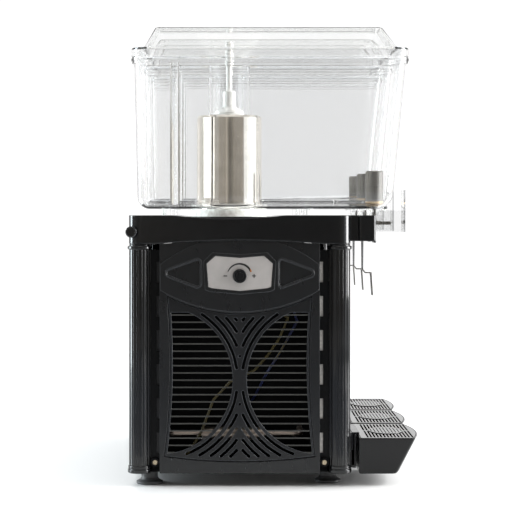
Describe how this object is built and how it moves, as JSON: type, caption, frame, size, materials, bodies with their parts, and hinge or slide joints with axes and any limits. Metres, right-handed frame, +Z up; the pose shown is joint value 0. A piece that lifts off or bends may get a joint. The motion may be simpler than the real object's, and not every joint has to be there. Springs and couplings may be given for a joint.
{
  "type": "refrigerated drink dispenser",
  "caption": "Countertop cold drink dispenser with clear lift-off tanks over cooled cylinders, push-lever taps, drip trays and a fluted black cabinet with a grille.",
  "frame": {"origin": "bottom centre of the whole part, on the floor under the feet", "axes": "+Z up, -Y to the front with the taps and drip trays, X across the three tanks"},
  "size_m": [0.552, 0.4465, 0.6969],
  "materials": {
    "black_gloss": "moulded gloss",
    "black_satin": "moulded satin",
    "clear": "clear moulded plastic",
    "polished_steel": "polished stainless",
    "brushed_steel": "brushed stainless",
    "plate_aluminium": "satin",
    "print": "printed",
    "white_plastic": "moulded",
    "seal": "soft seal",
    "gasket": "pale soft seal",
    "foot_rubber": "moulded",
    "dark_metal": "painted",
    "fin_aluminium": "plain",
    "copper": "drawn copper",
    "lead_sheath": "cable sheath"
  },
  "bodies": {
    "cabinet": {"base_pan": "dark_metal", "feet": "foot_rubber", "corner_columns": "black_gloss", "column_collars": "black_gloss", "slot_strips": "black_satin", "chassis_posts": "brushed_steel", "left_side_panel": "black_satin", "right_side_panel": "black_satin", "side_grilles": "black_satin", "control_plate": "plate_aluminium", "dial_marks": "print", "thermostat_body": "black_satin", "front_panel": "black_satin", "rear_panel": "black_satin", "deck": "black_gloss", "deck_side_plugs": "black_satin", "panel_screws": "brushed_steel", "tray_rail": "black_satin", "compressor": "dark_metal", "condenser": "fin_aluminium", "fan_motor": "dark_metal", "refrigerant_pipes": "copper", "air_baffle": "dark_metal", "drive_motors": "dark_metal", "evaporators": "polished_steel", "evaporator_gaskets": "gasket", "pump_housings": "white_plastic", "riser_tubes": "white_plastic", "spray_sleeves": "clear", "wiring": "lead_sheath", "cable_gland": "black_satin"},
    "tank_1": {"tank_1": "clear", "spout_1": "clear"},
    "lid_1": {"lid_1": "clear"},
    "lever_1": {"lever_1": "brushed_steel"},
    "piston_1": {"piston_1": "brushed_steel", "piston_seal_1": "seal"},
    "impeller_1": {"impeller_1": "white_plastic"},
    "drip_tray_1": {"drip_tray_1": "black_gloss"},
    "drip_grid_1": {"drip_grid_1": "black_gloss"},
    "tank_2": {"tank_2": "clear", "spout_2": "clear"},
    "lid_2": {"lid_2": "clear"},
    "lever_2": {"lever_2": "brushed_steel"},
    "piston_2": {"piston_2": "brushed_steel", "piston_seal_2": "seal"},
    "impeller_2": {"impeller_2": "white_plastic"},
    "drip_tray_2": {"drip_tray_2": "black_gloss"},
    "drip_grid_2": {"drip_grid_2": "black_gloss"},
    "tank_3": {"tank_3": "clear", "spout_3": "clear"},
    "lid_3": {"lid_3": "clear"},
    "lever_3": {"lever_3": "brushed_steel"},
    "piston_3": {"piston_3": "brushed_steel", "piston_seal_3": "seal"},
    "impeller_3": {"impeller_3": "white_plastic"},
    "drip_tray_3": {"drip_tray_3": "black_gloss"},
    "drip_grid_3": {"drip_grid_3": "black_gloss"},
    "fan": {"fan": "fin_aluminium"},
    "thermostat_knob": {"thermostat_knob": "black_satin"}
  },
  "joints": [
    {"name": "tank_lift_1", "type": "slide", "parent": "cabinet", "child": "tank_1", "axis": [0, 0, 1], "range_m": [0, 0.27]},
    {"name": "lid_lift_1", "type": "slide", "parent": "tank_1", "child": "lid_1", "axis": [0, 0, 1], "range_m": [0, 0.08]},
    {"name": "lever_turn_1", "type": "hinge", "parent": "tank_1", "child": "lever_1", "pos_m": [-0.18, -0.17825, 0.396], "axis": [1, 0, 0], "range_deg": [0, 12]},
    {"name": "piston_lift_1", "type": "slide", "parent": "tank_1", "child": "piston_1", "axis": [0, 0, 1], "range_m": [0, 0.0045]},
    {"name": "impeller_spin_1", "type": "hinge", "parent": "cabinet", "child": "impeller_1", "pos_m": [-0.18, 0.06775, 0.563], "axis": [0, 0, 1], "continuous": true},
    {"name": "tray_lift_1", "type": "slide", "parent": "cabinet", "child": "drip_tray_1", "axis": [0, 0, 1], "range_m": [0, 0.06]},
    {"name": "grid_lift_1", "type": "slide", "parent": "drip_tray_1", "child": "drip_grid_1", "axis": [0, 0, 1], "range_m": [0, 0.04]},
    {"name": "tank_lift_2", "type": "slide", "parent": "cabinet", "child": "tank_2", "axis": [0, 0, 1], "range_m": [0, 0.27]},
    {"name": "lid_lift_2", "type": "slide", "parent": "tank_2", "child": "lid_2", "axis": [0, 0, 1], "range_m": [0, 0.08]},
    {"name": "lever_turn_2", "type": "hinge", "parent": "tank_2", "child": "lever_2", "pos_m": [0, -0.17825, 0.396], "axis": [1, 0, 0], "range_deg": [0, 12]},
    {"name": "piston_lift_2", "type": "slide", "parent": "tank_2", "child": "piston_2", "axis": [0, 0, 1], "range_m": [0, 0.0045]},
    {"name": "impeller_spin_2", "type": "hinge", "parent": "cabinet", "child": "impeller_2", "pos_m": [0, 0.06775, 0.563], "axis": [0, 0, 1], "continuous": true},
    {"name": "tray_lift_2", "type": "slide", "parent": "cabinet", "child": "drip_tray_2", "axis": [0, 0, 1], "range_m": [0, 0.06]},
    {"name": "grid_lift_2", "type": "slide", "parent": "drip_tray_2", "child": "drip_grid_2", "axis": [0, 0, 1], "range_m": [0, 0.04]},
    {"name": "tank_lift_3", "type": "slide", "parent": "cabinet", "child": "tank_3", "axis": [0, 0, 1], "range_m": [0, 0.27]},
    {"name": "lid_lift_3", "type": "slide", "parent": "tank_3", "child": "lid_3", "axis": [0, 0, 1], "range_m": [0, 0.08]},
    {"name": "lever_turn_3", "type": "hinge", "parent": "tank_3", "child": "lever_3", "pos_m": [0.18, -0.17825, 0.396], "axis": [1, 0, 0], "range_deg": [0, 12]},
    {"name": "piston_lift_3", "type": "slide", "parent": "tank_3", "child": "piston_3", "axis": [0, 0, 1], "range_m": [0, 0.0045]},
    {"name": "impeller_spin_3", "type": "hinge", "parent": "cabinet", "child": "impeller_3", "pos_m": [0.18, 0.06775, 0.563], "axis": [0, 0, 1], "continuous": true},
    {"name": "tray_lift_3", "type": "slide", "parent": "cabinet", "child": "drip_tray_3", "axis": [0, 0, 1], "range_m": [0, 0.06]},
    {"name": "grid_lift_3", "type": "slide", "parent": "drip_tray_3", "child": "drip_grid_3", "axis": [0, 0, 1], "range_m": [0, 0.04]},
    {"name": "fan_spin", "type": "hinge", "parent": "cabinet", "child": "fan", "pos_m": [-0.03, 0.14375, 0.15], "axis": [0, -1, 0], "continuous": true},
    {"name": "knob_turn", "type": "hinge", "parent": "cabinet", "child": "thermostat_knob", "pos_m": [-0.269, 0.05175, 0.317], "axis": [-1, 0, 0], "range_deg": [-135, 135]}
  ],
  "couplings": [
    {"joint": "piston_lift_1", "follows": "lever_turn_1", "m_per_rad": 0.02},
    {"joint": "piston_lift_2", "follows": "lever_turn_2", "m_per_rad": 0.02},
    {"joint": "piston_lift_3", "follows": "lever_turn_3", "m_per_rad": 0.02}
  ]
}
